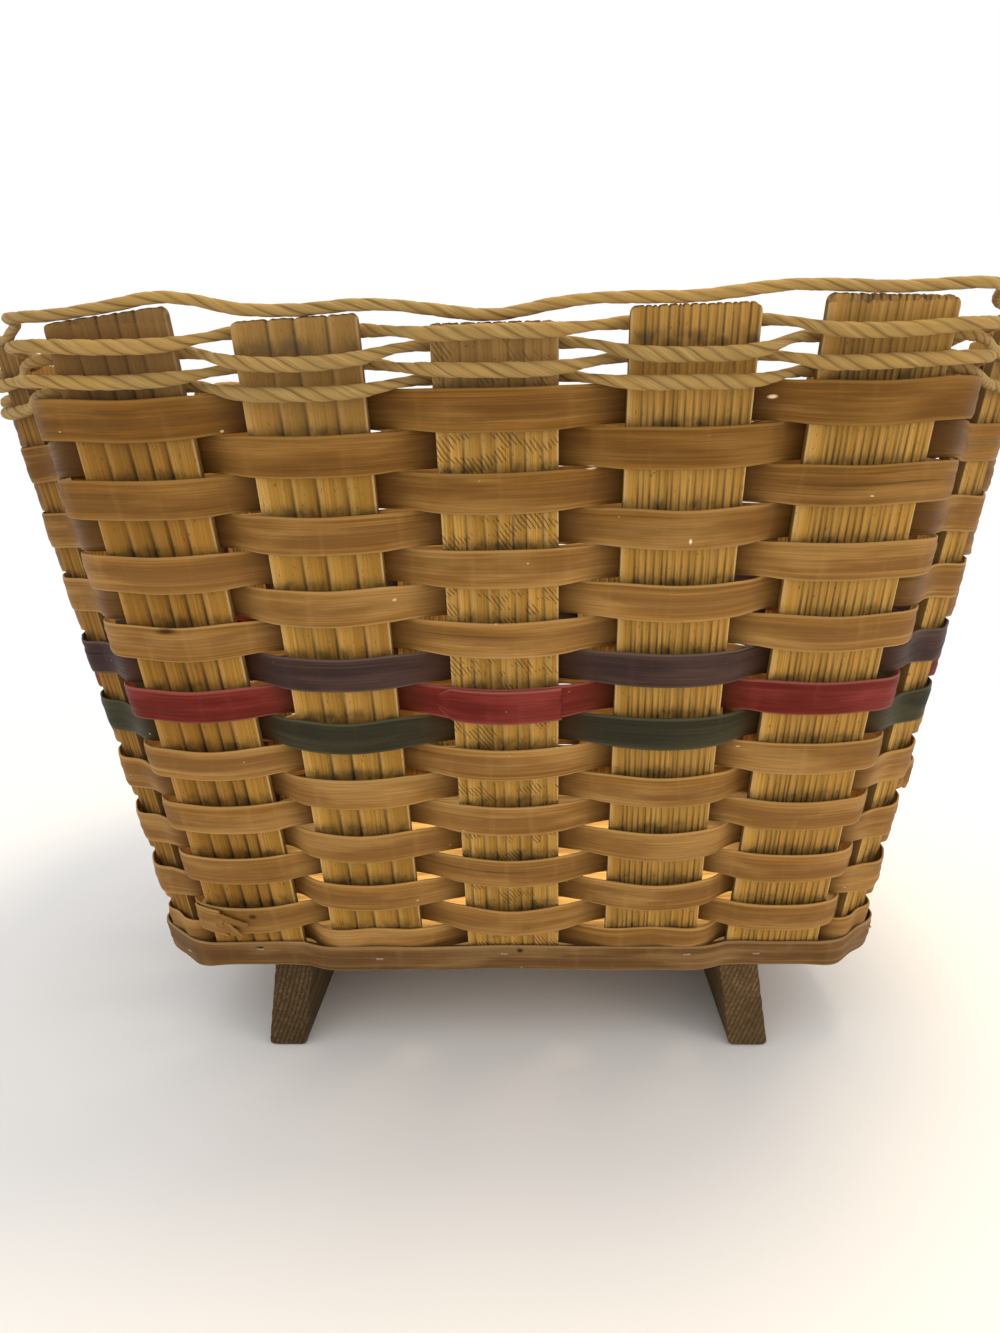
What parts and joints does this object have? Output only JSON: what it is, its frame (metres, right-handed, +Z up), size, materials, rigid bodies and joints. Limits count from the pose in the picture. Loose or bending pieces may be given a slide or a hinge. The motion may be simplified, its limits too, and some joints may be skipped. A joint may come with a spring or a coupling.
{
  "type": "splint market basket",
  "caption": "Open oblong basket of flat stakes and plain-woven splints on a board base with two splayed runners, its rim woven and bound with twisted cord.",
  "frame": {"origin": "middle of the box round the basket, on the ground under the runners", "axes": "+Z up, +X along the long side to the right as seen from the front, the front (stakes 1 to 5) faces -Y"},
  "size_m": [0.4098, 0.349, 0.3055],
  "materials": {
    "stake": "raw ridged softwood splint, honey coloured, with grey dust in the grooves",
    "splint": "natural flat reed, satin, tan with long grain lines",
    "splint_plum": "flat reed dyed dark plum, faded",
    "splint_red": "flat reed dyed burgundy red, faded at the edges",
    "splint_green": "flat reed dyed dark olive green",
    "cord": "pale twisted fibre cord, matte",
    "band": "flat splint band, satin, nailed",
    "board": "sawn softwood board, unfinished",
    "runner": "weathered dark sawn wood with open end grain"
  },
  "bodies": {
    "root": {"stake_01": "stake", "stake_02": "stake", "stake_03": "stake", "stake_04": "stake", "stake_05": "stake", "stake_06": "stake", "stake_07": "stake", "stake_08": "stake", "stake_09": "stake", "stake_10": "stake", "stake_11": "stake", "stake_12": "stake", "stake_13": "stake", "stake_14": "stake", "stake_15": "stake", "stake_16": "stake", "stake_17": "stake", "stake_18": "stake", "stake_19": "stake", "stake_20": "stake", "weaver_01": "splint", "weaver_02": "splint", "weaver_03": "splint", "weaver_04": "splint", "weaver_05": "splint", "weaver_06": "splint", "weaver_07": "splint", "weaver_08": "splint_plum", "weaver_09": "splint_red", "weaver_10": "splint_green", "weaver_11": "splint", "weaver_12": "splint", "weaver_13": "splint", "weaver_14": "splint", "weaver_15": "splint", "weaver_16": "splint", "weaver_17": "splint", "weaver_18": "splint", "cord_row_1": "cord", "cord_row_2": "cord", "cord_row_3": "cord", "cord_row_4": "cord", "rim_cord": "cord", "base_band": "band", "base_board": "board", "runner_left": "runner", "runner_right": "runner"}
  },
  "joints": []
}
